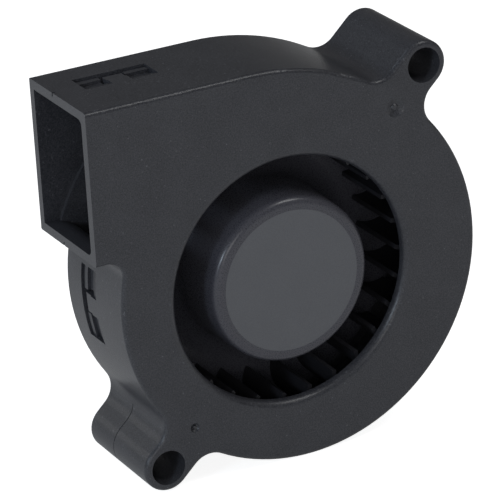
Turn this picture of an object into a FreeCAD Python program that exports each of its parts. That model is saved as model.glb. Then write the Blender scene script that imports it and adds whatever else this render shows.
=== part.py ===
import FreeCAD, Part
import math
import os

# A small radial blower: a flat scroll housing in two shells, and an outer-rotor motor whose cup
# carries a ring of forward-curved blades.
#
# Frame, in millimetres: X to the right and Z up as seen from the inlet side, Y towards the back.
# The blower stands upright with its outlet to the left. The origin is the middle of the bottom
# of its box, and the rotor turns about a line along Y above it. A depth is counted from the
# front face towards the back.

V = FreeCAD.Vector
TAU = 2.0 * math.pi

# Housing: overall form
DEPTH = 15.0
BACK = DEPTH / 2.0
COVER_DEPTH = 8.8
WALL = 1.15
FACE_WALL = 1.2
REAR_WALL = 1.1
SCROLL_R = 24.05
SCROLL_SHIFT_X = 1.45
SCROLL_SHIFT_Z = 0.62
OUTLET_REACH = 25.5
OUTLET_HEIGHT = 19.2
DUCT_TOP = 27.1
DUCT_FLAT_END = 4.0
TONGUE_R = 2.0
FACE_ROUND = 0.55
REAR_CHAMFER = 0.1
CORNER_ROUND = 0.8
RAISED_FLOOR_R = 25.2
RAISED_FLOOR_STEP = 0.5

# Ears with the two mounting holes
EAR_R = 3.05
EAR_HOLE_R = 2.2
EAR_LEAN = 43.0
EAR_FILLET = 3.0
EAR_ROOT_MARGIN = 0.4
UPPER_HOLE_X = 19.3
UPPER_HOLE_Z = 23.2
HOLE_SPAN_X = 37.35
HOLE_SPAN_Z = 43.05

# Inlet, and the two gates on the front face: X and Z from the axis, radius of the dimple and its nub
INLET_R = 15.55
LIP_ROUND = 0.95
DIMPLE_DEPTH = 0.4
NUB_HEIGHT = 0.3
UPPER_GATE = (15.2, 18.65, 1.2, 0.6)
LOWER_GATE = (-14.2, -15.6, 0.6, 0.3)

# Lap between the shells, and the snap clips that hold them
LAP_HEIGHT = 0.8
LAP_THICKNESS = 0.5
LAP_GAP = 0.05
LAP_END_SETBACK = 2.5
CLIP_LENGTH = 9.5
CLIP_DEPTH = 2.35
CLIP_SINK = 0.65
SCOOP_LENGTH = 1.6
SCOOP_SINK = 0.45
BAR_START = 1.1
BAR_DEPTH = 0.85
BAR_SINK = 0.25
WINDOW_LENGTH = 3.2
WINDOW_START = 0.4
TONGUE_WIDTH = 2.5
TONGUE_REACH = 1.4
TONGUE_SINK = 0.15
TONGUE_THICKNESS = 0.5
TONGUE_HOOK = 0.45
CLIP_GAP = 0.05
TOP_CLIP_X = -17.05
LEFT_CLIP_ANGLE = 183.0
RIGHT_CLIP_ANGLE = -38.0

# Where the shells meet: a fine groove round the lower ear, and a nick at each edge of the outlet's rim
PARTING_WIDTH = 0.12
PARTING_DEPTH = 0.3
NICK_WIDTH = 0.25
NICK_DEPTH = 0.45
NICK_LENGTH = 0.4

# Impeller
HUB_R = 10.45
HUB_REAR_R = 10.9
HUB_SETBACK = 0.15
HUB_FACE = 0.9
HUB_ROUND = 1.0
HUB_FLARE = 3.2
LABEL_R = 8.95
LABEL_THICKNESS = 0.12
LABEL_SEAT = 0.1
BLADE_COUNT = 27
BLADE_ROOT_R = 15.35
BLADE_TIP_R = 20.9
BLADE_THICKNESS = 0.55
BLADE_SWEEP = 2.6
BLADE_BOW = 1.3
BLADE_FACE_GAP = 0.7
RIM_WIDTH = 0.8
RIM_HEIGHT = 0.7
DISC_THICKNESS = 1.0
DISC_FLOOR_GAP = 0.9

# Rotor cup, magnet, shaft and its small parts
YOKE_R = 9.5
YOKE_WALL = 0.7
YOKE_BOARD_GAP = 2.3
YOKE_CHAMFER = 0.4
MAGNET_THICKNESS = 1.45
MAGNET_START = 1.45
MAGNET_END_SETBACK = 0.2
SHAFT_R = 1.0
BUSH_R = 2.2
BUSH_LENGTH = 1.85
OIL_RING_R = 1.7
OIL_RING_HEIGHT = 0.5
OIL_RING_GAP = 0.25
CLIP_RING_R = 1.9
CLIP_RING_THICKNESS = 0.3
GROOVE_DEPTH = 0.2
CLIP_RING_GAP = 0.15
SHAFT_TAIL = 0.65

# Bearing and its tube
BEARING_R = 2.5
BEARING_BUSH_GAP = 1.0
RUNNING_CLEARANCE = 0.02
TUBE_WALL = 0.5
TUBE_MARGIN = 0.6
PAD_THICKNESS = 0.4
PAD_GAP = 0.05
PAD_CLEARANCE = 0.05

# Stator
AIR_GAP = 0.25
POLES = 4
MAGNET_OVERHANG = 3.1
STACK_SHIFT = 0.05
CORE_RING = 1.6
POLE_NECK = 2.2
SHOE_THICKNESS = 1.0
SHOE_HALF_ANGLE = 36.0
INSULATOR_PLATE = 0.6
INSULATOR_MARGIN = 0.3
FLANGE_HEIGHT = 1.0
FLANGE_THICKNESS = 0.55
COIL_BUILD = 0.95
COIL_SIDE_GAP = 0.05
COIL_ROUND = 0.4
POST_R = 0.7
POST_OVERLAP = 0.2
PIN_R = 0.25
PIN_DEPTH = 1.5
PIN_TAIL = 0.4

# Motor pocket in the base, and the circuit board in it
POCKET_R = 10.6
POCKET_WALL = 0.7
SHELF_LEDGE = 0.5
SHELF_HEIGHT = 1.3
NECK_R = 3.9
TUBE_FLOOR = 1.05
SEAT_RECESS_R = 9.8
SEAT_RECESS = 0.2
BOARD_R = 9.6
BOARD_THICKNESS = 0.8
BOARD_HOLE_CLEARANCE = 0.1
PIN_HOLE_CLEARANCE = 0.1
SOLDER_R = 0.6
SOLDER_HEIGHT = 0.35
CHIP_SIZE = (3.8, 1.2, 1.5)
CHIP_RADIUS = 7.6
CHIP_LEG = 0.35
CHIP_LEGS = 4
CAPACITOR_SIZE = (3.2, 1.6, 1.0)
RESISTOR_SIZE = (2.0, 1.25, 0.5)
DIODE_SIZE = (2.7, 1.6, 1.1)
PART_RADIUS = 7.3

# Leads: each route is a list of points on the lead's centreline, chosen by hand
LEAD_R = 0.5
LEAD_PITCH = 1.02
COIL_X = 0.5
COIL_Y = BACK + 10.2
COIL_LIFT = 0.3
COIL_OUTER_R = 6.8
COIL_TURNS = 3.25
TIE_THICKNESS = 0.25
TIE_HALF_ANGLE = 7.0
SOLDER_PAD_LENGTH = 1.3
SOLDER_PAD_WIDTH = 1.0
SOLDER_PAD_GAP = 0.12
CHANNEL_WIDTH = 3.7
NOTCH_WIDTH = 3.3
CHANNEL_TOP = (-4.15, 17.0)
CHANNEL_END = (-6.4, 1.0)
RED_ROUTE = [
    (-4.65, BACK - 1.25, 17.6),
    (-5.6, BACK - 1.25, 13.6),
    (-6.3, BACK - 1.25, 10.2),
    (-6.7, BACK - 1.25, 7.2),
    (-6.87, BACK - 1.25, 4.6),
    (-6.9, BACK - 1.2, 2.0),
    (-6.88, BACK + 0.6, 0.5),
    (-6.7, BACK + 3.4, 0.5),
    (-6.37, BACK + 7.9, 0.75),
]
BLACK_ROUTE = [
    (-3.5, BACK - 1.25, 17.6),
    (-4.45, BACK - 1.25, 13.6),
    (-5.15, BACK - 1.25, 10.2),
    (-5.55, BACK - 1.25, 7.2),
    (-5.75, BACK - 1.25, 4.6),
    (-5.8, BACK - 1.2, 2.0),
    (-5.78, BACK + 0.6, 0.5),
    (-5.6, BACK + 3.4, 0.5),
    (-5.44, BACK + 5.9, 0.65),
]
RED_END_ROUTE = [
    (3.25, BACK + 17.03, 3.33),
    (7.6, BACK + 17.35, 2.5),
    (11.0, BACK + 17.4, 2.25),
]
BLACK_END_ROUTE = [
    (5.0, BACK + 15.85, 3.12),
    (7.6, BACK + 15.45, 2.5),
    (11.0, BACK + 15.4, 2.25),
]

# Two-way connector on the ends of the leads
PLUG_START_X = 10.0
PLUG_LENGTH = 8.0
PLUG_Y = BACK + 16.4
PLUG_WIDTH = 5.8
PLUG_HEIGHT = 4.5
PLUG_PITCH = 2.0
PLUG_CAVITY = 1.4
PLUG_CHAMFER = 0.4
PLUG_RIB = 0.5
CONTACT_SIZE = 1.2
CONTACT_WALL = 0.2
CONTACT_SETBACK = 0.6
CONTACT_GAP = 0.05
LATCH_LENGTH = 2.4
LATCH_DEPTH = 0.5

# Places that follow from the dimensions
AXIS_Z = SCROLL_R - SCROLL_SHIFT_Z
FRONT_Y = BACK - DEPTH
SCROLL_CENTRE = (SCROLL_SHIFT_X, AXIS_Z + SCROLL_SHIFT_Z)
UPPER_HOLE = (UPPER_HOLE_X, AXIS_Z + UPPER_HOLE_Z)
LOWER_HOLE = (UPPER_HOLE_X - HOLE_SPAN_X, AXIS_Z + UPPER_HOLE_Z - HOLE_SPAN_Z)
ROOF_Z = AXIS_Z + DUCT_TOP
SILL_Z = ROOF_Z - OUTLET_HEIGHT
# the roof's arc is tangent to the flat roof and to the scroll
ROOF_RISE = DUCT_TOP - SCROLL_SHIFT_Z
ROOF_RUN = DUCT_FLAT_END + SCROLL_SHIFT_X
ROOF_R = (ROOF_RUN**2 / (ROOF_RISE - SCROLL_R) + SCROLL_R + ROOF_RISE) / 2.0
ROOF_CENTRE = (-DUCT_FLAT_END, ROOF_Z - ROOF_R)

CHANNEL_FLOOR = DEPTH - REAR_WALL
RAISED_FLOOR = CHANNEL_FLOOR - RAISED_FLOOR_STEP
POCKET_FLOOR = DEPTH - POCKET_WALL
BOARD_REAR = POCKET_FLOOR - SHELF_HEIGHT
BOARD_FRONT = BOARD_REAR - BOARD_THICKNESS

DISC_REAR = RAISED_FLOOR - DISC_FLOOR_GAP
DISC_FRONT = DISC_REAR - DISC_THICKNESS
BLADE_FRONT = FACE_WALL + BLADE_FACE_GAP
LABEL_FLOOR = HUB_SETBACK + LABEL_SEAT
YOKE_FRONT = LABEL_FLOOR + HUB_FACE
YOKE_REAR = BOARD_FRONT - YOKE_BOARD_GAP
MAGNET_REAR = YOKE_REAR - MAGNET_END_SETBACK
MAGNET_FRONT = YOKE_FRONT + MAGNET_START
MAGNET_OUTER_R = YOKE_R - YOKE_WALL
MAGNET_INNER_R = MAGNET_OUTER_R - MAGNET_THICKNESS
HUB_BORE_R = (HUB_R + YOKE_R) / 2.0 + 0.2

STATOR_R = MAGNET_INNER_R - AIR_GAP
STACK_FRONT = MAGNET_FRONT + MAGNET_OVERHANG / 2.0 + STACK_SHIFT
STACK_REAR = MAGNET_REAR - MAGNET_OVERHANG / 2.0 + STACK_SHIFT
TUBE_R = BEARING_R + TUBE_WALL
SHELF_R = NECK_R + SHELF_LEDGE
POST_PITCH_R = TUBE_R + CORE_RING + POST_R - POST_OVERLAP
NECK_TOP = STACK_REAR + INSULATOR_PLATE
TUBE_END = DEPTH - TUBE_FLOOR
PAD_FRONT = TUBE_END - PAD_THICKNESS
SHAFT_END = PAD_FRONT - PAD_GAP
CLIP_RING_REAR = SHAFT_END - SHAFT_TAIL
CLIP_RING_FRONT = CLIP_RING_REAR - CLIP_RING_THICKNESS
BEARING_REAR = CLIP_RING_FRONT - CLIP_RING_GAP
BUSH_REAR = YOKE_FRONT + BUSH_LENGTH
BEARING_FRONT = BUSH_REAR + BEARING_BUSH_GAP
TUBE_FRONT = BEARING_FRONT - TUBE_MARGIN
OIL_RING_REAR = BEARING_FRONT - OIL_RING_GAP
OIL_RING_FRONT = OIL_RING_REAR - OIL_RING_HEIGHT

# longer than anything here
FAR = 2.0 * (SCROLL_R + OUTLET_REACH)

LAYER_RISE = LEAD_PITCH * math.sqrt(3.0) / 2.0
COIL_INNER_R = COIL_OUTER_R - 1.5 * LEAD_PITCH
COIL_TOP = COIL_LIFT + 2.0 * LEAD_R + math.floor(COIL_TURNS) * LAYER_RISE


def at(x, z, depth=0.0):
    """A point from X, Z and its depth behind the front face."""
    return V(x, FRONT_Y + depth, z)


def polar(centre, r, degrees):
    """A point in the front plane at r from centre, counted from +X towards +Z."""
    a = math.radians(degrees)
    return (centre[0] + r * math.cos(a), centre[1] + r * math.sin(a))


def bearing_of(centre, point):
    return math.degrees(math.atan2(point[1] - centre[1], point[0] - centre[0]))


def line(p, q):
    return Part.LineSegment(at(*p), at(*q)).toShape()


def arc(centre, p, q, clockwise=True):
    """The arc about centre from p to q, as seen from the front."""
    r = math.dist(centre, p)
    start = bearing_of(centre, p)
    sweep = (start - bearing_of(centre, q)) % 360.0
    if not clockwise:
        sweep -= 360.0
    middle = polar(centre, r, start - sweep / 2.0)
    return Part.Arc(at(*p), at(*middle), at(*q)).toShape()


def slab(wire, start, end):
    """The solid of a front-plane outline between two depths."""
    face = Part.Face(wire)
    face.translate(V(0, start, 0))
    return face.extrude(V(0, end - start, 0))


def disc(r, start, end, centre=(0.0, AXIS_Z)):
    return Part.makeCylinder(r, end - start, at(centre[0], centre[1], start), V(0, 1, 0))


def ring(inner, outer, start, end, centre=(0.0, AXIS_Z)):
    return disc(outer, start, end, centre).cut(disc(inner, start, end, centre))


def block(x0, x1, start, end, z0, z1):
    return Part.makeBox(x1 - x0, end - start, z1 - z0, at(x0, z0, start))


def turned(profile, sweep=360.0):
    """A profile of (radius, depth) points, turned about the rotor's axis."""
    points = [at(r, AXIS_Z, depth) for r, depth in profile]
    face = Part.Face(Part.makePolygon(points + points[:1]))
    return face.revolve(at(0, AXIS_Z), V(0, 1, 0), sweep)


def spun(shape, degrees):
    """A copy turned about the rotor's axis, from +X towards +Z."""
    copy = shape.copy()
    copy.rotate(at(0, AXIS_Z), V(0, -1, 0), degrees)
    return copy


def around(shape, count, first=0.0):
    return [spun(shape, first + i * 360.0 / count) for i in range(count)]


def edges_at_depth(shape, depth, keep=lambda e: True):
    """The edges that lie in the plane at one depth."""
    y = FRONT_Y + depth
    flat = [e for e in shape.Edges if abs(e.BoundBox.YMin - y) + abs(e.BoundBox.YMax - y) < 1e-4]
    return [e for e in flat if keep(e)]


def save(name, shape):
    shape.exportStep("parts/" + name + ".step")
    box = shape.optimalBoundingBox(False)
    print(
        "%-20s solids %d  volume %9.2f  x %.2f..%.2f  y %.2f..%.2f  z %.2f..%.2f"
        % (name, len(shape.Solids), shape.Volume, box.XMin, box.XMax, box.YMin, box.YMax, box.ZMin, box.ZMax)
    )


def scroll_wire(inset, reach=OUTLET_REACH):
    """The scroll and its duct without the ears, drawn inset from the housing's outer skin."""
    c = SCROLL_CENTRE
    r = SCROLL_R - inset
    roof = ROOF_Z - inset
    sill = SILL_Z + inset
    meet = polar(c, r, bearing_of(ROOF_CENTRE, c))
    hollow = TONGUE_R + inset
    drop = c[1] - (sill - hollow)
    hollow_centre = (c[0] - math.sqrt((r + hollow) ** 2 - drop**2), sill - hollow)
    tongue = polar(c, r, bearing_of(c, hollow_centre))
    flat_end = (ROOF_CENTRE[0], roof)
    sill_end = (hollow_centre[0], sill)
    return Part.Wire(
        [
            line((-reach, roof), flat_end),
            arc(ROOF_CENTRE, flat_end, meet),
            arc(c, meet, tongue),
            arc(hollow_centre, tongue, sill_end, clockwise=False),
            line(sill_end, (-reach, sill)),
            line((-reach, sill), (-reach, roof)),
        ]
    )


def beside_ear(centre, r, hole, lean, side):
    """Where an ear's straight side and the round wall meet a fillet: wall point, fillet centre, side point."""
    out = (math.cos(math.radians(lean)), math.sin(math.radians(lean)))
    normal = (-out[1] * side, out[0] * side)
    base = tuple(hole[i] + normal[i] * (EAR_R + EAR_FILLET) - centre[i] for i in (0, 1))
    along = base[0] * out[0] + base[1] * out[1]
    apart = base[0] ** 2 + base[1] ** 2 - (r + EAR_FILLET) ** 2
    t = -along + math.sqrt(along**2 - apart)
    middle = tuple(centre[i] + base[i] + out[i] * t for i in (0, 1))
    on_side = tuple(middle[i] - normal[i] * EAR_FILLET for i in (0, 1))
    return polar(centre, r, bearing_of(centre, middle)), middle, on_side


def ear_edges(hole, lean, before, after):
    """An ear's outline, clockwise, between the round walls before and after it."""
    wall_in, fillet_in, side_in = beside_ear(*before, hole, lean, 1)
    wall_out, fillet_out, side_out = beside_ear(*after, hole, lean, -1)
    shoulder_in = polar(hole, EAR_R, lean + 90.0)
    shoulder_out = polar(hole, EAR_R, lean - 90.0)
    edges = [
        arc(fillet_in, wall_in, side_in, clockwise=False),
        line(side_in, shoulder_in),
        arc(hole, shoulder_in, shoulder_out),
        line(shoulder_out, side_out),
        arc(fillet_out, side_out, wall_out, clockwise=False),
    ]
    return wall_in, wall_out, edges


def housing_wire():
    """The outer skin of both shells, ears included."""
    c = SCROLL_CENTRE
    scroll = (c, SCROLL_R)
    upper_in, upper_out, upper = ear_edges(UPPER_HOLE, EAR_LEAN, (ROOF_CENTRE, ROOF_R), scroll)
    lower_in, lower_out, lower = ear_edges(LOWER_HOLE, EAR_LEAN + 180.0, scroll, scroll)
    drop = c[1] - (SILL_Z - TONGUE_R)
    hollow = (c[0] - math.sqrt((SCROLL_R + TONGUE_R) ** 2 - drop**2), SILL_Z - TONGUE_R)
    tongue = polar(c, SCROLL_R, bearing_of(c, hollow))
    flat_end = (ROOF_CENTRE[0], ROOF_Z)
    sill_end = (hollow[0], SILL_Z)
    edges = [line((-OUTLET_REACH, ROOF_Z), flat_end), arc(ROOF_CENTRE, flat_end, upper_in)]
    edges += upper
    edges.append(arc(c, upper_out, lower_in))
    edges += lower
    edges.append(arc(c, lower_out, tongue))
    edges.append(arc(hollow, tongue, sill_end, clockwise=False))
    edges.append(line(sill_end, (-OUTLET_REACH, SILL_Z)))
    edges.append(line((-OUTLET_REACH, SILL_Z), (-OUTLET_REACH, ROOF_Z)))
    return Part.Wire(edges)


def off_outlet_end(edge):
    """True but for the edges in the plane of the outlet."""
    return edge.BoundBox.XMax > -OUTLET_REACH + 1e-3


def cavity(start, end):
    """The room for the air between two depths, open through the outlet."""
    return slab(scroll_wire(WALL, OUTLET_REACH + 2.0), start, end)


def clear_of_outlet(start, end):
    """A block over everything but the outlet's rim."""
    return block(-OUTLET_REACH + LAP_END_SETBACK, FAR, start, end, -FAR, FAR)


def clips():
    """Each snap clip's place: its middle on the skin and the way out."""
    left = polar(SCROLL_CENTRE, SCROLL_R, LEFT_CLIP_ANGLE)
    right = polar(SCROLL_CENTRE, SCROLL_R, RIGHT_CLIP_ANGLE)
    return [((TOP_CLIP_X, ROOF_Z), 90.0), (left, LEFT_CLIP_ANGLE), (right, RIGHT_CLIP_ANGLE)]


def clip_block(place, length, start, end, inner=-3.0 * WALL, outer=WALL):
    """A block across a clip, from inner to outer as heights over the skin."""
    (x, z), facing = place
    solid = Part.makeBox(outer - inner, end - start, length, at(x + inner, z - length / 2.0, start))
    solid.rotate(at(x, z), V(0, -1, 0), facing)
    return solid


def skin_below(sink, start, end):
    """The housing's body inside the skin by a small amount, without ears."""
    return slab(scroll_wire(sink, OUTLET_REACH + 1.0), start, end)


def clip_strip(place, length, start, end, top, bottom):
    """A strip across a clip that follows the skin, between two sinks below it."""
    strip = clip_block(place, length, start, end).common(skin_below(top, start, end))
    return strip.cut(skin_below(bottom, start, end))


def clip_recess(place):
    """What the base loses at a clip: a recess with a low bar on each side of the tongue's window."""
    start = COVER_DEPTH
    end = start + CLIP_DEPTH
    bar_start = start + BAR_START
    recess = clip_strip(place, CLIP_LENGTH, start, end, -WALL, CLIP_SINK)
    bar = clip_strip(place, CLIP_LENGTH, bar_start, bar_start + BAR_DEPTH, BAR_SINK, WALL)
    window = clip_block(place, WINDOW_LENGTH, start + WINDOW_START, end)
    return [recess.cut(bar), window]


def clip_scoop(place):
    """What the cover loses at a clip: a ramp down to the base's recess on each side of the tongue."""
    start = COVER_DEPTH - SCOOP_LENGTH
    wires = []
    for sink, depth in ((0.0, start), (SCOOP_SINK, COVER_DEPTH)):
        wire = scroll_wire(sink, OUTLET_REACH + 1.0)
        wire.translate(V(0, depth, 0))
        wires.append(wire)
    ramp = clip_block(place, CLIP_LENGTH, start, COVER_DEPTH).cut(Part.makeLoft(wires, True, True))
    return ramp.cut(clip_block(place, TONGUE_WIDTH, start, COVER_DEPTH))


def clip_tongue(place):
    """The cover's tongue, which reaches over the front of the base's window and hooks into it."""
    end = COVER_DEPTH + TONGUE_REACH
    bottom = TONGUE_SINK + TONGUE_THICKNESS
    plate = clip_strip(place, TONGUE_WIDTH, COVER_DEPTH - LAP_HEIGHT, end, TONGUE_SINK, bottom)
    hook_start = COVER_DEPTH + WINDOW_START + CLIP_GAP
    hook = clip_strip(place, TONGUE_WIDTH, hook_start, end, TONGUE_SINK, bottom + TONGUE_HOOK)
    return [plate, hook]


def gate(place):
    """The dished dimple of a gate in the front face, and the nub that is left in it."""
    x, z, r, nub_r = place
    ball_r = (r**2 + DIMPLE_DEPTH**2) / (2.0 * DIMPLE_DEPTH)
    dish = Part.makeSphere(ball_r, at(x, AXIS_Z + z, DIMPLE_DEPTH - ball_r))
    foot = at(x, AXIS_Z + z, DIMPLE_DEPTH + LAP_GAP)
    nub = Part.makeCone(nub_r, nub_r / 2.0, NUB_HEIGHT, foot, V(0, -1, 0))
    return dish, nub


def ear_groove(hole, lean):
    """A fine groove round an ear, in front of the plane where the shells meet."""
    start = COVER_DEPTH - PARTING_WIDTH
    half = EAR_R - PARTING_DEPTH
    core = block(hole[0] - FAR, hole[0], start, COVER_DEPTH, hole[1] - half, hole[1] + half)
    core.rotate(at(*hole), V(0, -1, 0), lean)
    groove = ear_zone(hole, lean).common(block(-FAR, FAR, start, COVER_DEPTH, -FAR, FAR))
    return groove.cut([core, disc(half, start, COVER_DEPTH, hole)])


def rim_nicks():
    """A nick in the cover's edge above and below the outlet, where the shells meet."""
    end = COVER_DEPTH - NICK_WIDTH
    heights = ((ROOF_Z - NICK_DEPTH, ROOF_Z), (SILL_Z, SILL_Z + NICK_DEPTH))
    return [block(-OUTLET_REACH, NICK_LENGTH - OUTLET_REACH, end, COVER_DEPTH, *z) for z in heights]


def front_cover():
    shell = slab(housing_wire(), 0.0, COVER_DEPTH)
    shell = shell.makeFillet(FACE_ROUND, edges_at_depth(shell, 0.0, off_outlet_end))
    room = cavity(FACE_WALL, COVER_DEPTH)
    shell = shell.cut(room.makeFillet(CORNER_ROUND, edges_at_depth(room, FACE_WALL)))
    lap_start = COVER_DEPTH - LAP_HEIGHT - LAP_GAP
    rebate = slab(scroll_wire(WALL - LAP_THICKNESS - LAP_GAP), lap_start, COVER_DEPTH)
    shell = shell.cut(rebate.common(clear_of_outlet(lap_start, COVER_DEPTH)))
    shell = shell.cut(disc(INLET_R, 0.0, FACE_WALL))
    lip = [e for e in edges_at_depth(shell, 0.0) if abs(e.Length - TAU * INLET_R) < 1e-3]
    shell = shell.makeFillet(LIP_ROUND, lip)
    for hole in (UPPER_HOLE, LOWER_HOLE):
        shell = shell.cut(disc(EAR_HOLE_R, 0.0, COVER_DEPTH, hole))
    for place in (UPPER_GATE, LOWER_GATE):
        dish, nub = gate(place)
        shell = shell.cut(dish).fuse(nub)
    for place in clips():
        shell = shell.cut(clip_scoop(place)).fuse(clip_tongue(place))
    shell = shell.cut(ear_groove(LOWER_HOLE, EAR_LEAN + 180.0)).cut(rim_nicks())
    shell = shell.removeSplitter()
    return simple_solids(shell, [block(-OUTLET_REACH, FAR, 0.0, FACE_WALL, -FAR, FAR)])


def ear_zone(hole, lean):
    """A block over an ear, from its root outwards."""
    root = EAR_R + EAR_ROOT_MARGIN
    side = 2.0 * EAR_R
    zone = block(hole[0] - root, hole[0] + FAR, 0.0, DEPTH, hole[1] - side, hole[1] + side)
    zone.rotate(at(*hole), V(0, -1, 0), lean)
    return zone


def simple_solids(shell, zones):
    """One moulding as solids that meet face to face: its ears, each zone, and the rest."""
    solids = []
    for zone in [ear_zone(UPPER_HOLE, EAR_LEAN), ear_zone(LOWER_HOLE, EAR_LEAN + 180.0)] + zones:
        solids += shell.common(zone).Solids
        shell = shell.cut(zone)
    return Part.makeCompound(solids + shell.Solids)


def lead_channel():
    """The groove in the floor from the motor pocket to the notch in the scroll's lower wall."""
    (x0, z0), (x1, z1) = CHANNEL_TOP, CHANNEL_END
    length = math.dist(CHANNEL_TOP, CHANNEL_END)
    lean = math.degrees(math.atan2(x0 - x1, z0 - z1))
    depth_of_lead = RED_ROUTE[0][1] - FRONT_Y
    half = CHANNEL_WIDTH / 2.0
    groove = block(x1 - half, x1 + half, RAISED_FLOOR - 0.5, POCKET_FLOOR, z1, z1 + length)
    groove.rotate(at(x1, z1), V(0, 1, 0), lean)
    half = NOTCH_WIDTH / 2.0
    notch_start = depth_of_lead - LEAD_R - LAP_GAP
    notch = block(x1 - half, x1 + half, notch_start, DEPTH, 0.0, z1 + 2.0 * WALL)
    return [groove, notch]


def motor_seat():
    """The shelf for the board and the neck round the bearing tube, turned as one."""
    return turned(
        [
            (0.0, NECK_TOP),
            (NECK_R, NECK_TOP),
            (NECK_R, BOARD_REAR),
            (SHELF_R, BOARD_REAR),
            (SHELF_R, POCKET_FLOOR),
            (0.0, POCKET_FLOOR),
        ]
    )


def housing_base():
    shell = slab(housing_wire(), COVER_DEPTH, DEPTH)
    shell = shell.makeChamfer(REAR_CHAMFER, edges_at_depth(shell, DEPTH, off_outlet_end))
    shell = shell.cut(cavity(COVER_DEPTH, CHANNEL_FLOOR))
    raised = cavity(RAISED_FLOOR, CHANNEL_FLOOR)
    shell = shell.fuse(raised.common(disc(RAISED_FLOOR_R, RAISED_FLOOR, CHANNEL_FLOOR)))
    lap_start = COVER_DEPTH - LAP_HEIGHT
    lip = slab(scroll_wire(WALL - LAP_THICKNESS), lap_start, COVER_DEPTH)
    lip = lip.cut(cavity(lap_start, COVER_DEPTH))
    lip = lip.common(clear_of_outlet(lap_start, COVER_DEPTH))
    for place in clips():
        lip = lip.cut(clip_block(place, WINDOW_LENGTH, lap_start, COVER_DEPTH))
    shell = shell.fuse(lip)
    shell = shell.cut(disc(POCKET_R, RAISED_FLOOR, POCKET_FLOOR))
    shell = shell.fuse(motor_seat())
    shell = shell.cut(disc(TUBE_R, NECK_TOP, TUBE_END))
    shell = shell.cut(disc(SEAT_RECESS_R, DEPTH - SEAT_RECESS, DEPTH))
    shell = shell.cut(lead_channel())
    for hole in (UPPER_HOLE, LOWER_HOLE):
        shell = shell.cut(disc(EAR_HOLE_R, COVER_DEPTH, DEPTH, hole))
    for place in clips():
        shell = shell.cut(clip_recess(place))
    shell = shell.removeSplitter()
    seat = disc(POCKET_R, 0.0, DEPTH)
    return simple_solids(shell, [seat, block(-OUTLET_REACH, FAR, RAISED_FLOOR, DEPTH, -FAR, FAR)])


def blade():
    """One forward-curved blade, standing on the front of the disc."""
    axis = (0.0, AXIS_Z)
    root = polar(axis, BLADE_ROOT_R, 0.0)
    tip = polar(axis, BLADE_TIP_R - BLADE_THICKNESS / 2.0, BLADE_SWEEP)
    belly = polar(axis, (BLADE_ROOT_R + BLADE_TIP_R) / 2.0, -BLADE_BOW)
    curve = Part.Arc(at(*root), at(*belly), at(*tip)).toShape().Curve
    centre = (curve.Center.x, curve.Center.z)
    r = curve.Radius
    first = bearing_of(centre, root)
    last = bearing_of(centre, tip)
    half = BLADE_THICKNESS / 2.0
    outer = [polar(centre, r + half, a) for a in (first, last)]
    inner = [polar(centre, r - half, a) for a in (last, first)]
    turning = (first - last) % 360.0 < 180.0
    wire = Part.Wire(
        [
            arc(centre, outer[0], outer[1], turning),
            line(outer[1], inner[0]),
            arc(centre, inner[0], inner[1], not turning),
            line(inner[1], outer[0]),
        ]
    )
    return slab(wire, BLADE_FRONT, DISC_FRONT)


def hub_blank():
    """The hub before its label's seat is sunk in: a cap over the rotor's steel cup."""
    hub = turned(
        [
            (0.0, HUB_SETBACK),
            (HUB_R, HUB_SETBACK),
            (HUB_REAR_R, DISC_FRONT),
            (HUB_BORE_R, DISC_FRONT),
            (HUB_BORE_R, YOKE_REAR),
            (YOKE_R, YOKE_REAR),
            (YOKE_R, YOKE_FRONT),
            (0.0, YOKE_FRONT),
        ]
    )
    rim = [e for e in edges_at_depth(hub, HUB_SETBACK) if e.Length > TAU * YOKE_R]
    return hub.makeFillet(HUB_ROUND, rim)


def impeller_hub():
    return hub_blank().cut(disc(LABEL_R, HUB_SETBACK, LABEL_FLOOR))


def impeller_disc():
    """The disc that carries the blades, and the flare that leads the air onto it from the hub."""
    plate = ring(HUB_BORE_R, BLADE_TIP_R, DISC_FRONT, DISC_REAR)
    hub = hub_blank()
    joined = hub.fuse(plate)
    foot = [e for e in edges_at_depth(joined, DISC_FRONT) if abs(e.Length - TAU * HUB_REAR_R) < 1e-3]
    flare = joined.makeFillet(HUB_FLARE, foot).cut([hub, plate])
    return Part.makeCompound([plate, flare])


def impeller_rim():
    return ring(BLADE_TIP_R - RIM_WIDTH, BLADE_TIP_R, BLADE_FRONT, BLADE_FRONT + RIM_HEIGHT)


def impeller_blades():
    return around(blade().cut(impeller_rim()), BLADE_COUNT)


def rotor_yoke():
    cup = turned(
        [
            (BUSH_R, YOKE_FRONT),
            (YOKE_R, YOKE_FRONT),
            (YOKE_R, YOKE_REAR),
            (MAGNET_OUTER_R, YOKE_REAR),
            (MAGNET_OUTER_R, YOKE_FRONT + YOKE_WALL),
            (BUSH_R, YOKE_FRONT + YOKE_WALL),
        ]
    )
    corner = [e for e in edges_at_depth(cup, YOKE_FRONT) if e.Length > TAU * MAGNET_OUTER_R]
    return cup.makeChamfer(YOKE_CHAMFER, corner)


def shaft():
    """The shaft with its groove for the retaining ring and a domed tail."""
    dome = SHAFT_R / 2.0
    rod = disc(SHAFT_R, YOKE_FRONT, SHAFT_END)
    rod = rod.makeFillet(dome, edges_at_depth(rod, SHAFT_END))
    return rod.cut(ring(SHAFT_R - GROOVE_DEPTH, SHAFT_R + 1.0, CLIP_RING_FRONT, CLIP_RING_REAR))


def retaining_ring():
    band = ring(SHAFT_R - GROOVE_DEPTH, CLIP_RING_R, CLIP_RING_FRONT, CLIP_RING_REAR)
    slit = block(0.0, CLIP_RING_R, CLIP_RING_FRONT, CLIP_RING_REAR, AXIS_Z - 0.2, AXIS_Z + 0.2)
    return band.cut(slit)


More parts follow.
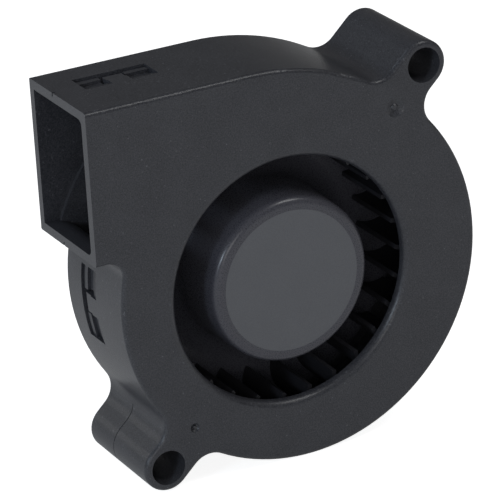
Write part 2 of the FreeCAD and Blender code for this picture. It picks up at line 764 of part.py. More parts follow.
def shaft_bush():
    step = BUSH_R + 0.5
    bush = ring(SHAFT_R, BUSH_R, YOKE_FRONT, BUSH_REAR)
    return bush.fuse(ring(SHAFT_R, step, YOKE_FRONT + YOKE_WALL, BUSH_REAR)).removeSplitter()


def thrust_pad():
    return disc(BEARING_R - PAD_CLEARANCE, PAD_FRONT, TUBE_END)


def stator_core():
    core = ring(TUBE_R, TUBE_R + CORE_RING, STACK_FRONT, STACK_REAR)
    half = POLE_NECK / 2.0
    inner = STATOR_R - SHOE_THICKNESS
    neck_end = inner + SHOE_THICKNESS / 2.0
    neck = block(TUBE_R + 1.0, neck_end, STACK_FRONT, STACK_REAR, AXIS_Z - half, AXIS_Z + half)
    profile = [(inner, STACK_FRONT), (STATOR_R, STACK_FRONT), (STATOR_R, STACK_REAR), (inner, STACK_REAR)]
    shoe = spun(turned(profile, 2.0 * SHOE_HALF_ANGLE), SHOE_HALF_ANGLE)
    return core.fuse(around(neck, POLES) + around(shoe, POLES)).removeSplitter()


def insulator(front):
    """One end insulator: a plate over the core's ring and necks, with walls that hold the coils."""
    if front:
        seat, plate_end, wall_end = STACK_FRONT, STACK_FRONT - INSULATOR_PLATE, None
        wall_end = plate_end - FLANGE_HEIGHT
    else:
        seat, plate_end = STACK_REAR, STACK_REAR + INSULATOR_PLATE
        wall_end = plate_end + FLANGE_HEIGHT
    lo, hi = min(seat, plate_end), max(seat, plate_end)
    wall_lo, wall_hi = min(seat, wall_end), max(seat, wall_end)
    half = POLE_NECK / 2.0 + INSULATOR_MARGIN
    shoe_in = STATOR_R - SHOE_THICKNESS
    hub_r = TUBE_R + CORE_RING
    neck = block(TUBE_R + 1.0, shoe_in + FLANGE_THICKNESS, lo, hi, AXIS_Z - half, AXIS_Z + half)
    inner_wall = ring(hub_r - FLANGE_THICKNESS, hub_r, wall_lo, wall_hi)
    flange = ring(shoe_in, shoe_in + FLANGE_THICKNESS, wall_lo, wall_hi)
    wide = half + INSULATOR_MARGIN
    window = block(0.0, STATOR_R, wall_lo, wall_hi, AXIS_Z - wide, AXIS_Z + wide)
    flange = flange.common(window)
    body = ring(TUBE_R, hub_r, lo, hi)
    body = body.fuse([inner_wall] + around(neck, POLES) + around(flange, POLES))
    if not front:
        body = body.fuse(post_feet())
        for place in post_places():
            body = body.cut(disc(PIN_R, BOARD_FRONT - PIN_DEPTH, BOARD_FRONT, place))
    return body.removeSplitter()


def post_places():
    """The four posts stand between the coils."""
    half_pitch = 180.0 / POLES
    return [polar((0.0, AXIS_Z), POST_PITCH_R, half_pitch + i * 360.0 / POLES) for i in range(POLES)]


def post_feet():
    return [disc(POST_R, STACK_REAR, BOARD_FRONT, place) for place in post_places()]


def winding(index):
    """One coil of wire round a neck, drawn as its outer form."""
    half = POLE_NECK / 2.0 + COIL_SIDE_GAP
    start = STACK_FRONT - INSULATOR_PLATE
    end = STACK_REAR + INSULATOR_PLATE
    near = TUBE_R + CORE_RING
    far = STATOR_R - SHOE_THICKNESS
    wide = half + COIL_BUILD
    full = block(near, far, start - COIL_BUILD, end + COIL_BUILD, AXIS_Z - wide, AXIS_Z + wide)
    corners = [e for e in full.Edges if e.BoundBox.XLength > 0.5 * (far - near)]
    full = full.makeFillet(COIL_ROUND, corners)
    coil = full.cut(block(near, far, start, end, AXIS_Z - half, AXIS_Z + half))
    coil = coil.common(disc(far, start - COIL_BUILD, end + COIL_BUILD)).cut(insulator_solids)
    return spun(coil, index * 360.0 / POLES)


def circuit_board():
    board = ring(NECK_R + BOARD_HOLE_CLEARANCE, BOARD_R, BOARD_FRONT, BOARD_REAR)
    for place in post_places():
        board = board.cut(disc(PIN_R + PIN_HOLE_CLEARANCE, BOARD_FRONT, BOARD_REAR, place))
    return board


def terminal_pins():
    return [
        disc(PIN_R, BOARD_FRONT - PIN_DEPTH, BOARD_REAR + PIN_TAIL, place) for place in post_places()
    ]


def solder_joints():
    """Solder on the rear of the board: a cone round each pin, and a bead where each lead ends."""
    joints = []
    for x, z in post_places():
        foot = at(x, z, BOARD_REAR)
        cone = Part.makeCone(SOLDER_R, PIN_R + 0.1, SOLDER_HEIGHT, foot, V(0, 1, 0))
        joints.append(cone.cut(disc(PIN_R, BOARD_REAR, BOARD_REAR + SOLDER_HEIGHT, (x, z))))
    for route in (RED_ROUTE, BLACK_ROUTE):
        x, y, z = route[0]
        half = SOLDER_PAD_WIDTH / 2.0
        low = z + SOLDER_PAD_GAP
        rear = y - FRONT_Y + LEAD_R
        bead = block(x - half, x + half, BOARD_REAR, rear, low, low + SOLDER_PAD_LENGTH)
        joints.append(bead)
    return joints


def board_part(size, radius, degrees, legs=0):
    """A small part on the front of the board: length across the radius, width along it, height."""
    length, width, height = size
    top = BOARD_FRONT - height
    if legs:
        top -= CHIP_LEG
    low = AXIS_Z - length / 2.0
    body = block(radius - width / 2.0, radius + width / 2.0, top, top + height, low, low + length)
    for i in range(legs):
        z = low + length / (legs + 1) * (i + 1)
        leg = block(radius - 0.15, radius + 0.15, top + height, BOARD_FRONT, z - 0.15, z + 0.15)
        body = body.fuse(leg)
    return spun(body, degrees)


def tube_along(route, r):
    """A tube of straight runs joined by tangent arcs, and the least radius of those arcs."""
    points = [V(*p) for p in route]
    edges = []
    radii = []
    start = points[0]
    for before, corner, after in zip(points, points[1:], points[2:]):
        way_in = (corner - before).normalize()
        way_out = (after - corner).normalize()
        turn = way_in.getAngle(way_out)
        reach = 0.45 * min((corner - before).Length, (after - corner).Length)
        bend = reach / math.tan(turn / 2.0)
        arc_in = corner - way_in * reach
        arc_out = corner + way_out * reach
        to_centre = (way_out - way_in).normalize()
        centre = corner + to_centre * math.hypot(bend, reach)
        middle = centre - to_centre * bend
        edges.append(Part.LineSegment(start, arc_in).toShape())
        edges.append(Part.Arc(arc_in, middle, arc_out).toShape())
        radii.append(bend)
        start = arc_out
    edges.append(Part.LineSegment(start, points[-1]).toShape())
    path = Part.Wire(edges)
    ring_wire = Part.Wire(Part.makeCircle(r, points[0], points[1] - points[0]))
    tube = path.makePipeShell([ring_wire], True, False)
    print("  lead: length %.1f, volume %.2f for %.2f" % (path.Length, tube.Volume, path.Length * math.pi * r * r))
    print("  radii " + " ".join("%.1f" % b for b in radii))
    return tube


def lead(route, end_route):
    """A lead's two free stretches, each cut back to where it meets the coil."""
    coil = lead_coil()
    return Part.makeCompound([tube_along(r, LEAD_R).cut(coil) for r in (route, end_route)])


def about_coil(profile, sweep=360.0, first=0.0):
    """A profile of (radius, height) points turned about the coil's upright axis."""
    points = [V(COIL_X + r, COIL_Y, z) for r, z in profile]
    face = Part.Face(Part.makePolygon(points + points[:1]))
    solid = face.revolve(V(COIL_X, COIL_Y, 0), V(0, 0, 1), sweep)
    solid.rotate(V(COIL_X, COIL_Y, 0), V(0, 0, 1), first)
    return solid


def coil_band():
    return COIL_INNER_R - LEAD_R, COIL_OUTER_R + LEAD_R


def lead_coil():
    inner, outer = coil_band()
    return about_coil([(inner, COIL_LIFT), (outer, COIL_LIFT), (outer, COIL_TOP), (inner, COIL_TOP)])


def lead_tie():
    inner, outer = coil_band()
    near = inner - TIE_THICKNESS
    far = outer + TIE_THICKNESS
    low = COIL_LIFT - TIE_THICKNESS
    high = COIL_TOP + TIE_THICKNESS
    loop = [(near, low), (far, low), (far, high), (near, high)]
    return about_coil(loop, 2.0 * TIE_HALF_ANGLE, -TIE_HALF_ANGLE).cut(lead_coil())


def plug_rows():
    return (PLUG_Y + PLUG_PITCH / 2.0, PLUG_Y - PLUG_PITCH / 2.0)


def connector_housing():
    end = PLUG_START_X + PLUG_LENGTH
    half = PLUG_WIDTH / 2.0
    body = Part.makeBox(PLUG_LENGTH, PLUG_WIDTH, PLUG_HEIGHT, V(PLUG_START_X, PLUG_Y - half, 0))
    top = [e for e in body.Edges if e.BoundBox.ZMin > PLUG_HEIGHT - 1e-4 and e.BoundBox.XLength > 1.0]
    body = body.makeChamfer(PLUG_CHAMFER, top)
    middle = RED_END_ROUTE[-1][2]
    low = middle - PLUG_CAVITY / 2.0
    for y in plug_rows():
        left = y - PLUG_CAVITY / 2.0
        body = body.cut(Part.makeBox(PLUG_LENGTH, PLUG_CAVITY, PLUG_CAVITY, V(PLUG_START_X, left, low)))
        slot = V(end - LATCH_LENGTH - 1.5, left, PLUG_HEIGHT - LATCH_DEPTH)
        body = body.cut(Part.makeBox(LATCH_LENGTH, PLUG_CAVITY, LATCH_DEPTH, slot))
    rib = V(end - PLUG_LENGTH / 2.0, PLUG_Y - PLUG_RIB / 2.0, PLUG_HEIGHT)
    return body.fuse(Part.makeBox(PLUG_LENGTH / 2.0, PLUG_RIB, PLUG_RIB, rib)).removeSplitter()


def crimp_contacts():
    """A box-shaped socket contact in each cavity of the connector, against the end of its lead."""
    contacts = []
    start = RED_END_ROUTE[-1][0] + CONTACT_GAP
    length = PLUG_START_X + PLUG_LENGTH - CONTACT_SETBACK - start
    middle = RED_END_ROUTE[-1][2]
    bore = CONTACT_SIZE - 2.0 * CONTACT_WALL
    for y in plug_rows():
        corner = V(start, y - CONTACT_SIZE / 2.0, middle - CONTACT_SIZE / 2.0)
        outer = Part.makeBox(length, CONTACT_SIZE, CONTACT_SIZE, corner)
        mouth = V(start + length / 2.0, y - bore / 2.0, middle - bore / 2.0)
        contacts.append(outer.cut(Part.makeBox(length / 2.0, bore, bore, mouth)))
    return contacts


os.makedirs("parts", exist_ok=True)

save("housing_base", housing_base())
save("front_cover", front_cover())
save("bearing_tube", ring(BEARING_R, TUBE_R, TUBE_FRONT, TUBE_END))
save("sleeve_bearing", ring(SHAFT_R + RUNNING_CLEARANCE, BEARING_R, BEARING_FRONT, BEARING_REAR))
save("thrust_pad", thrust_pad())
save("stator_core", stator_core())
front_insulator = insulator(True)
rear_insulator = insulator(False)
insulator_solids = [front_insulator, rear_insulator]
save("insulator_front", front_insulator)
save("insulator_rear", rear_insulator)
for i in range(POLES):
    save("winding_%d" % (i + 1), winding(i))
save("terminal_pins", Part.makeCompound(terminal_pins()))
save("circuit_board", circuit_board())
save("solder_joints", Part.makeCompound(solder_joints()))
save("hall_driver_chip", board_part(CHIP_SIZE, CHIP_RADIUS, 90.0, CHIP_LEGS))
save("filter_capacitor", board_part(CAPACITOR_SIZE, PART_RADIUS, 0.0))
save("series_resistor", board_part(RESISTOR_SIZE, PART_RADIUS, 180.0))
save("polarity_diode", board_part(DIODE_SIZE, PART_RADIUS, 270.0))

save("impeller_hub", impeller_hub())
save("impeller_disc", impeller_disc())
save("impeller_rim", impeller_rim())
save("impeller_blades", Part.makeCompound(impeller_blades()))
save("hub_label", disc(LABEL_R, LABEL_FLOOR - LABEL_THICKNESS, LABEL_FLOOR))
save("rotor_yoke", rotor_yoke())
save("magnet_ring", ring(MAGNET_INNER_R, MAGNET_OUTER_R, MAGNET_FRONT, MAGNET_REAR))
save("shaft_bush", shaft_bush())
save("shaft", shaft())
save("retaining_ring", retaining_ring())
save("oil_ring", ring(SHAFT_R, OIL_RING_R, OIL_RING_FRONT, OIL_RING_REAR))

save("lead_red", lead(RED_ROUTE, RED_END_ROUTE))
save("lead_black", lead(BLACK_ROUTE, BLACK_END_ROUTE))
save("lead_coil", lead_coil())
save("lead_tie", lead_tie())
save("connector_housing", connector_housing())
save("crimp_contacts", Part.makeCompound(crimp_contacts()))
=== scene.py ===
import math

import bpy
import bmesh
from mathutils import Matrix, Vector


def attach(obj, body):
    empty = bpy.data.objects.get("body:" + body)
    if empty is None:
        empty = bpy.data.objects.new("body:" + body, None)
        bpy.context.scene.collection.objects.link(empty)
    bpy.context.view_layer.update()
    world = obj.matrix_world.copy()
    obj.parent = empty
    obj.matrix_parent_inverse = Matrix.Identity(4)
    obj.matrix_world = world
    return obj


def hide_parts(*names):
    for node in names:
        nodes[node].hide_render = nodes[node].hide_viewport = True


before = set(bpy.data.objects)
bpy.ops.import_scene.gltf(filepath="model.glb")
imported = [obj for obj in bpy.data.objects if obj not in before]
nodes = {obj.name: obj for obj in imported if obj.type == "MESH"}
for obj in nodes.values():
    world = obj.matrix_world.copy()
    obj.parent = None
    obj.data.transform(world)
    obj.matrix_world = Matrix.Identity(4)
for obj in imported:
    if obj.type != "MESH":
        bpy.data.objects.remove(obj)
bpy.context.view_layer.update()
scene = bpy.context.scene

MM = 0.001

# Places of the blower, in millimetres
AXIS_Z = 23.43
FRONT = -7.5

# The two leads and their coil behind the blower, in millimetres
LEAD_R = 0.5
LEAD_PITCH = 1.02
LAYER_RISE = LEAD_PITCH * math.sqrt(3.0) / 2.0
COIL_X = 0.5
COIL_Y = 17.7
COIL_LIFT = 0.3
COIL_OUTER_R = 6.8

# The coil's turns. A lead starts its step up to the next layer at STEP_START of a turn, over STEP_RUN of it
COIL_TURNS = 3.25
COIL_STEPS = math.floor(COIL_TURNS) + 1
POINTS_PER_TURN = 18
STEP_START = 0.44
STEP_RUN = 0.12

# The runs, in millimetres: from the board down inside the back of the housing, out of its notch, and to the coil
RED_EXIT = (-6.9, 6.3, 2.0)
BLACK_EXIT = (-5.8, 6.3, 2.0)
RED_RUN = [
    (-4.65, 6.25, 17.6),
    (-5.6, 6.25, 13.6),
    (-6.3, 6.25, 10.2),
    (-6.7, 6.25, 7.2),
    (-6.87, 6.25, 4.6),
    RED_EXIT,
    (-6.88, 8.1, 0.5),
    (-6.7, 10.9, 0.5),
    (-6.37, 15.4, 0.75),
]
BLACK_RUN = [
    (-3.5, 6.25, 17.6),
    (-4.45, 6.25, 13.6),
    (-5.15, 6.25, 10.2),
    (-5.55, 6.25, 7.2),
    (-5.75, 6.25, 4.6),
    BLACK_EXIT,
    (-5.78, 8.1, 0.5),
    (-5.6, 10.9, 0.5),
    (-5.38, 14.6, 0.72),
]
# From the coil into the connector
RED_END = [(3.25, 24.2, 3.33), (7.6, 24.85, 2.5), (11.0, 24.9, 2.25)]
BLACK_END = [(3.25, 23.1, 3.4), (7.6, 22.95, 2.5), (11.0, 22.9, 2.25)]

# The photograph's view: angles, then millimetres
VIEW_TURN = math.radians(-26.93)
VIEW_TILT = math.radians(22.69)
VIEW_ROLL = math.radians(-3.417)
VIEW_DISTANCE = 445.8
VIEW_AIM = Vector((-5.429, FRONT, AXIS_Z + 5.345))
VIEW_LENS = 270.88
VIEW_SENSOR = 36.0

# The plastics' mottle, and the share of it in the colour beside the grain
MOTTLE_MM = 4.0
MOTTLE_SHARE = 0.15
# How far the grain makes a plastic shinier or duller
GRAIN_GLOSS = 0.06
# Painted glints: pale flecks in the colour that stand for the sparkle of the glass fibre at the skin; only the
# noise's peaks show
GLINT_FLECK_MM = 0.3
GLINT_FLECK_START = 0.74
GLINT_FLECK_FULL = 0.88
# How far the lines of a metal make it shinier and duller
LINE_SHINIER = 0.05
LINE_DULLER = 0.08

# Lamps: the point they face, in metres, and the cool tint of the ones that stand for a window
LAMP_AIM = Vector((0.0, 0.0, 0.025))
PLAIN_TINT = (1.0, 1.0, 1.0)
WINDOW_TINT = (0.74, 0.86, 1.0)

# The sky and the table look white; AMBIENT is what the sky gives the object's matt colours
WHITE = (1.0, 1.0, 1.0, 1.0)
AMBIENT = 0.24
SKY_GLOSS = 0.11
TABLE_GLOSS = 0.2
TABLE_GLOW = 0.88
TABLE_REACH = 3.0


def srgb(code, alpha=1.0):
    """A colour from its sRGB hex code, as the linear values that Blender works in."""
    parts = [int(code[i : i + 2], 16) / 255.0 for i in (1, 3, 5)]
    linear = [c / 12.92 if c <= 0.04045 else ((c + 0.055) / 1.055) ** 2.4 for c in parts]
    return (*linear, alpha)


def add(material, kind, settings=None, **inputs):
    """Adds a node. Settings are its properties. Inputs are its sockets, by name or as i and a number, each
    with a value or with the socket to link."""
    tree = material.node_tree
    node = tree.nodes.new(kind)
    for key, value in (settings or {}).items():
        setattr(node, key, value)
    for key, value in inputs.items():
        numbered = key[0] == "i" and key[1:].isdigit()
        socket = node.inputs[int(key[1:]) if numbered else key.replace("_", " ")]
        if isinstance(value, bpy.types.NodeSocket):
            tree.links.new(value, socket)
        else:
            socket.default_value = value
    return node


def new_material(name):
    material = bpy.data.materials.new(name)
    material.use_nodes = True
    material.node_tree.nodes.clear()
    return material


def surface(material, **inputs):
    """Ends a material in one Principled shader."""
    shader = add(material, "ShaderNodeBsdfPrincipled", **inputs)
    add(material, "ShaderNodeOutputMaterial", Surface=shader.outputs["BSDF"])
    return material


def shades(material, factor, dark, light, low=0.3, high=0.7):
    """A colour that runs from dark to light as factor runs from low to high."""
    ramp = add(material, "ShaderNodeValToRGB", Fac=factor)
    ramp.color_ramp.elements[0].position = low
    ramp.color_ramp.elements[1].position = high
    ramp.color_ramp.elements[0].color = srgb(dark)
    ramp.color_ramp.elements[1].color = srgb(light)
    return ramp.outputs["Color"]


def moulded(name, dark, light, roughness, grain_mm, grain_depth_mm, fleck=None):
    """Moulded plastic: an even colour with a fine grain and a slight mottle. The real grain, of a few
    hundredths of a millimetre, is too fine to show, so it is drawn as coarse as it needs to."""
    m = new_material(name)
    place = add(m, "ShaderNodeTexCoord").outputs["Object"]
    grain = add(m, "ShaderNodeTexNoise", Vector=place, Scale=1.0 / (grain_mm * MM), Detail=2.0, Roughness=0.6)
    mottle = add(
        m, "ShaderNodeTexNoise", Vector=place, Scale=1.0 / (MOTTLE_MM * MM), Detail=3.0, Roughness=0.5
    )
    mix = add(
        m,
        "ShaderNodeMix",
        {"data_type": "FLOAT"},
        Factor=MOTTLE_SHARE,
        i2=grain.outputs["Fac"],
        i3=mottle.outputs["Fac"],
    )
    colour = shades(m, mix.outputs["Result"], dark, light, 0.35, 0.65)
    # Painted glints: pale flecks at the noise's peaks, for the sparkle of the glass fibre
    if fleck:
        specks = add(m, "ShaderNodeTexNoise", Vector=place, Scale=1.0 / (GLINT_FLECK_MM * MM), Detail=0.0)
        few = add(
            m, "ShaderNodeMapRange", Value=specks.outputs["Fac"], From_Min=GLINT_FLECK_START, From_Max=GLINT_FLECK_FULL
        )
        painted_glints = add(
            m, "ShaderNodeMix", {"data_type": "RGBA"}, i0=few.outputs["Result"], i6=colour, i7=srgb(fleck)
        )
        colour = painted_glints.outputs[2]
    gloss = add(
        m,
        "ShaderNodeMapRange",
        Value=grain.outputs["Fac"],
        To_Min=roughness - GRAIN_GLOSS,
        To_Max=roughness + GRAIN_GLOSS,
    )
    bump = add(m, "ShaderNodeBump", Strength=1.0, Distance=grain_depth_mm * MM, Height=grain.outputs["Fac"])
    return surface(
        m, Base_Color=colour, Roughness=gloss.outputs["Result"], IOR=1.5, Normal=bump.outputs["Normal"]
    )


def metal(name, dark, light, roughness, line_mm, depth_mm, stretch):
    """Worked metal: lines of the given width, drawn out along the rotor's axis or across it."""
    m = new_material(name)
    place = add(m, "ShaderNodeTexCoord").outputs["Object"]
    turned = add(m, "ShaderNodeMapping", Vector=place, Scale=stretch)
    lines = add(
        m, "ShaderNodeTexNoise", Vector=turned.outputs["Vector"], Scale=1.0 / (line_mm * MM), Detail=3.0
    )
    colour = shades(m, lines.outputs["Fac"], dark, light)
    gloss = add(
        m,
        "ShaderNodeMapRange",
        Value=lines.outputs["Fac"],
        To_Min=roughness - LINE_SHINIER,
        To_Max=roughness + LINE_DULLER,
    )
    bump = add(m, "ShaderNodeBump", Distance=depth_mm * MM, Height=lines.outputs["Fac"])
    return surface(
        m, Base_Color=colour, Metallic=1.0, Roughness=gloss.outputs["Result"], Normal=bump.outputs["Normal"]
    )


# Glass-filled PBT, moulded against a spark-eroded tool: matt black-grey with a fine grain, and its sparkle drawn
# as painted glints in pale flecks
housing_pbt = moulded("housing_pbt_moulded", "#2a2b30", "#46474c", 0.33, 0.17, 0.024, "#5c5d62")
# The impeller's PBT comes off a smoother tool, so it shines a little more and looks cooler
impeller_pbt = moulded("impeller_pbt_moulded", "#404047", "#4e4e55", 0.28, 0.15, 0.002)
# The blades: the impeller's PBT with painted shade, darker than the hub to stand for the shade deep in the
# inlet, and duller
blade_pbt_painted_shade = moulded("blade_painted_shade_pbt", "#1c1c20", "#26262a", 0.5, 0.2, 0.003)
# Blank polyester film with a matt face: even grey, paler than the hub round it
label_film = moulded("label_polyester_film", "#5e6064", "#6a6b6f", 0.55, 0.15, 0.006)
# Natural nylon, moulded: warm off-white with a soft shine
insulator_nylon = moulded("insulator_nylon_moulded", "#cfcabb", "#dcd8ca", 0.45, 0.3, 0.003)
# Epoxy round the chip and the diode: flat black, quite dull
chip_epoxy = moulded("chip_epoxy_moulded", "#1a1a1b", "#242425", 0.5, 0.08, 0.004)
# Fired ceramic of the capacitor: sandy brown, like fine unglazed pottery
capacitor_ceramic = moulded("capacitor_ceramic_fired", "#8e7554", "#a38966", 0.5, 0.1, 0.002)
# Glazed ceramic of the resistor: almost black, with a glassier shine
resistor_ceramic = moulded("resistor_ceramic_glazed", "#202226", "#2c2f34", 0.35, 0.1, 0.002)
# Natural PEEK, moulded: tan with a soft shine
pad_peek = moulded("thrust_pad_peek_moulded", "#a88f62", "#b89f72", 0.4, 0.2, 0.002)
# Nylon stamped from sheet: off-white and duller than the moulded
ring_nylon = moulded("retaining_ring_nylon_stamped", "#d2cdbf", "#dedacd", 0.5, 0.2, 0.002)
# Nitrile rubber: black, with hardly any shine
oil_ring_rubber = moulded("oil_ring_nitrile_rubber", "#161616", "#202020", 0.6, 0.15, 0.004)
# Bonded ferrite: dull brown-black with the grain of its powder
magnet_ferrite = moulded("magnet_ferrite_bonded", "#2c2927", "#3a3633", 0.55, 0.1, 0.006)
# Connector nylon, moulded: milky white with a soft shine
connector_nylon = moulded("connector_nylon_moulded", "#e3e0d6", "#ecebe3", 0.42, 0.35, 0.003)
# Extruded nylon of the tie: pale grey, smooth
tie_nylon = moulded("tie_nylon_extruded", "#d8d8d4", "#e4e4e1", 0.4, 0.3, 0.002)
# Extruded PVC of the leads' sleeves: smooth, with one long soft shine
red_pvc = moulded("lead_red_pvc_extruded", "#a3151a", "#b31c20", 0.36, 0.3, 0.002)
black_pvc = moulded("lead_black_pvc_extruded", "#161617", "#1f1f20", 0.36, 0.3, 0.002)
# Solder resist over glass cloth: dark green, smooth and a little glossy
board_resist = moulded("board_solder_resist", "#1c4f2b", "#256136", 0.35, 0.5, 0.003)
# Drawn steel of the rotor's cup: bright grey with fine lines along the axis
yoke_steel = metal("yoke_steel_drawn", "#9a9ca0", "#c2c4c8", 0.32, 0.12, 0.002, (1.0, 0.1, 1.0))
# Ground steel: the brightest, with hair lines across the axis
shaft_steel = metal("shaft_steel_ground", "#b0b2b6", "#d2d4d8", 0.2, 0.06, 0.001, (0.2, 1.0, 0.2))
# Stacked sheets of silicon steel: dull grey with the edges of the layers
core_steel = metal("core_steel_laminated", "#6f7072", "#9b9c9f", 0.42, 0.35, 0.02, (0.02, 1.0, 0.02))
# Turned brass: yellow and shiny, with the lines of the turning tool
brass_turned = metal("brass_turned", "#b98f49", "#d9b46b", 0.26, 0.08, 0.002, (0.2, 1.0, 0.2))
# Sintered bronze: brown and dull from its pores and oil
bronze_sintered = metal("bronze_sintered", "#7a5a34", "#9c7746", 0.5, 0.1, 0.01, (1.0, 1.0, 1.0))
# Enamelled copper wire, wound in layers: red-brown and shiny, in fine ridges
copper_enamelled = metal("copper_wire_enamelled", "#8a3f1d", "#c06a35", 0.3, 0.2, 0.05, (0.1, 1.0, 0.1))
# Tin plating: pale silver, smooth
tin_plated = metal("pins_tin_plated", "#b9b6ae", "#d6d3cb", 0.28, 0.1, 0.001, (1.0, 1.0, 1.0))
# Solder that has flowed: bright silver with soft waves
solder_tin = metal("solder_tin_reflowed", "#b4b6b9", "#d8dadd", 0.22, 0.4, 0.01, (1.0, 1.0, 1.0))

FINISHES = {
    "housing_base": housing_pbt,
    "front_cover": housing_pbt,
    "impeller_hub": impeller_pbt,
    "impeller_disc": impeller_pbt,
    "impeller_rim": impeller_pbt,
    "impeller_blades": blade_pbt_painted_shade,
    "hub_label": label_film,
    "rotor_yoke": yoke_steel,
    "magnet_ring": magnet_ferrite,
    "shaft": shaft_steel,
    "shaft_bush": brass_turned,
    "retaining_ring": ring_nylon,
    "oil_ring": oil_ring_rubber,
    "bearing_tube": brass_turned,
    "sleeve_bearing": bronze_sintered,
    "thrust_pad": pad_peek,
    "stator_core": core_steel,
    "insulator_front": insulator_nylon,
    "insulator_rear": insulator_nylon,
    "winding_1": copper_enamelled,
    "winding_2": copper_enamelled,
    "winding_3": copper_enamelled,
    "winding_4": copper_enamelled,
    "terminal_pins": tin_plated,
    "circuit_board": board_resist,
    "solder_joints": solder_tin,
    "hall_driver_chip": chip_epoxy,
    "filter_capacitor": capacitor_ceramic,
    "series_resistor": resistor_ceramic,
    "polarity_diode": chip_epoxy,
    "lead_tie": tie_nylon,
    "connector_housing": connector_nylon,
    "crimp_contacts": tin_plated,
}
for node, material in FINISHES.items():
    for slot in nodes[node].material_slots:
        slot.material = material


def step_up(x):
    """Runs smoothly from 0 to 1 as x does."""
    x = min(1.0, max(0.0, x))
    return x * x * (3.0 - 2.0 * x)


def coil_points(strand):
    """The coil's turns: each turn lies in the hollow of the one below, and steps up under the tie."""
    points = []
    for i in range(1, int(COIL_TURNS * POINTS_PER_TURN)):
        turn = i / POINTS_PER_TURN
        layer = sum(step_up((turn - k - STEP_START) / STEP_RUN) for k in range(COIL_STEPS))
        inward = LEAD_PITCH / 2.0 * abs((layer + 1.0) % 2.0 - 1.0)
        r = COIL_OUTER_R - strand * LEAD_PITCH - inward
        angle = math.pi - turn * math.tau
        z = COIL_LIFT + LEAD_R + layer * LAYER_RISE
        points.append((COIL_X + r * math.cos(angle), COIL_Y + r * math.sin(angle), z))
    return points


def lead(name, points, material):
    """A round lead along a smooth line through the points, on the housing's body."""
    curve = bpy.data.curves.new(name, "CURVE")
    curve.dimensions = "3D"
    curve.bevel_depth = LEAD_R * MM
    curve.bevel_resolution = 5
    curve.resolution_u = 6
    curve.use_fill_caps = True
    spline = curve.splines.new("NURBS")
    spline.points.add(len(points) - 1)
    for point, place in zip(spline.points, points):
        point.co = (*(Vector(place) * MM), 1.0)
    spline.order_u = 3
    spline.use_endpoint_u = True
    piece = bpy.data.objects.new(name, curve)
    scene.collection.objects.link(piece)
    curve.materials.append(material)
    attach(piece, "stator")
    return piece


red_lead = lead("red_lead", RED_RUN + coil_points(0) + RED_END, red_pvc)
black_lead = lead("black_lead", BLACK_RUN + coil_points(1) + BLACK_END, black_pvc)
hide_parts("lead_red", "lead_coil")
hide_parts("lead_black")


def look(turn, tilt, roll, distance, aim):
    """Where a camera stands that looks at aim, turned about the upright, tilted down and rolled."""
    forward = Vector((-math.sin(turn) * math.cos(tilt), math.cos(turn) * math.cos(tilt), -math.sin(tilt)))
    right = Vector((math.cos(turn), math.sin(turn), 0.0))
    up = right.cross(forward)
    rolled_right = right * math.cos(roll) + up * math.sin(roll)
    rolled_up = up * math.cos(roll) - right * math.sin(roll)
    place = Matrix((rolled_right, rolled_up, -forward)).transposed().to_4x4()
    place.translation = (aim - forward * distance) * MM
    return place


camera = bpy.data.objects.new("camera", bpy.data.cameras.new("camera"))
scene.collection.objects.link(camera)
scene.camera = camera
camera.matrix_world = look(VIEW_TURN, VIEW_TILT, VIEW_ROLL, VIEW_DISTANCE, VIEW_AIM)
camera.data.sensor_width = VIEW_SENSOR
camera.data.lens = VIEW_LENS
camera.data.clip_start = 0.01


def lamp(name, place, size, watts, colour=PLAIN_TINT):
    """A round soft lamp that faces the blower."""
    light = bpy.data.lights.new(name, "AREA")
    light.shape = "DISK"
    light.size = size
    light.energy = watts
    light.color = colour
    fixture = bpy.data.objects.new(name, light)
    scene.collection.objects.link(fixture)
    fixture.location = place
    fixture.rotation_euler = (LAMP_AIM - Vector(place)).to_track_quat("-Z", "Y").to_euler()


# Two lamps for the face and the top, two cool ones for the shine on the left walls, the rims and the hub's
# shoulder, and two weak ones that keep the back from going black
lamp("front_lamp", (-0.263, -0.516, 0.18), 0.25, 0.37)
lamp("top_lamp", (0.251, -0.232, 0.518), 0.2, 0.6)
lamp("left_lamp", (-0.52, -0.23, 0.21), 0.1, 0.64, WINDOW_TINT)
lamp("side_lamp", (-0.54, 0.06, 0.253), 0.12, 0.22, WINDOW_TINT)
lamp("high_back_lamp", (-0.342, 0.258, 0.439), 0.12, 0.2, WINDOW_TINT)
lamp("low_back_lamp", (-0.28, 0.51, 0.15), 0.25, 0.15)

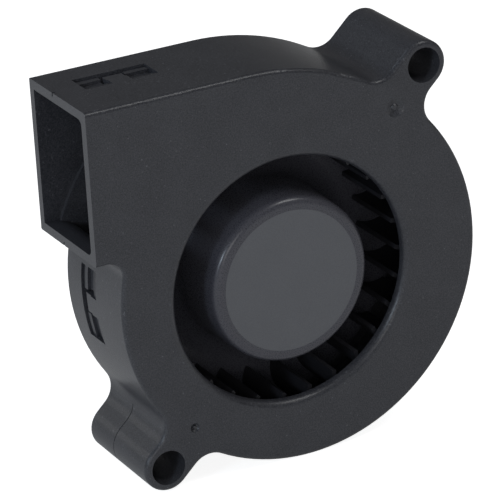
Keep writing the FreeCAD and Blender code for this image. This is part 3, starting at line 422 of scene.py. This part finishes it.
# Sky: white where it is seen, dimmer in reflections, and AMBIENT as light
world = bpy.data.worlds.new("studio")
world.use_nodes = True
scene.world = world
world.node_tree.nodes.clear()
path = add(world, "ShaderNodeLightPath")
in_view = add(
    world,
    "ShaderNodeMath",
    {"operation": "MAXIMUM"},
    i0=path.outputs["Is Camera Ray"],
    i1=path.outputs["Is Transmission Ray"],
)
unseen = add(
    world, "ShaderNodeMapRange", Value=path.outputs["Is Glossy Ray"], To_Min=AMBIENT, To_Max=SKY_GLOSS
)
strength = add(
    world, "ShaderNodeMath", {"operation": "MAXIMUM"}, i0=in_view.outputs["Value"], i1=unseen.outputs["Result"]
)
sky = add(world, "ShaderNodeBackground", Color=WHITE, Strength=strength.outputs["Value"])
add(world, "ShaderNodeOutputWorld", Surface=sky.outputs["Background"])

# Table: matt and pale, so that it keeps the shadow, with a glow that only the camera and reflections meet
bm = bmesh.new()
bmesh.ops.create_grid(bm, x_segments=1, y_segments=1, size=TABLE_REACH)
table_mesh = bpy.data.meshes.new("table")
bm.to_mesh(table_mesh)
bm.free()
table = bpy.data.objects.new("table", table_mesh)
scene.collection.objects.link(table)
table_white = new_material("table_white")
path = add(table_white, "ShaderNodeLightPath")
matt = add(table_white, "ShaderNodeBsdfDiffuse", Color=srgb("#d8d8d8"))
mirrored = add(
    table_white, "ShaderNodeMath", {"operation": "MULTIPLY"}, i0=path.outputs["Is Glossy Ray"], i1=TABLE_GLOSS
)
seen = add(
    table_white, "ShaderNodeMath", {"operation": "MULTIPLY"}, i0=path.outputs["Is Camera Ray"], i1=TABLE_GLOW
)
both = add(
    table_white, "ShaderNodeMath", {"operation": "ADD"}, i0=mirrored.outputs["Value"], i1=seen.outputs["Value"]
)
glow = add(table_white, "ShaderNodeEmission", Color=WHITE, Strength=both.outputs["Value"])
mixed = add(table_white, "ShaderNodeAddShader", i0=matt.outputs["BSDF"], i1=glow.outputs["Emission"])
add(table_white, "ShaderNodeOutputMaterial", Surface=mixed.outputs["Shader"])
table_mesh.materials.append(table_white)

scene.view_settings.view_transform = "Standard"
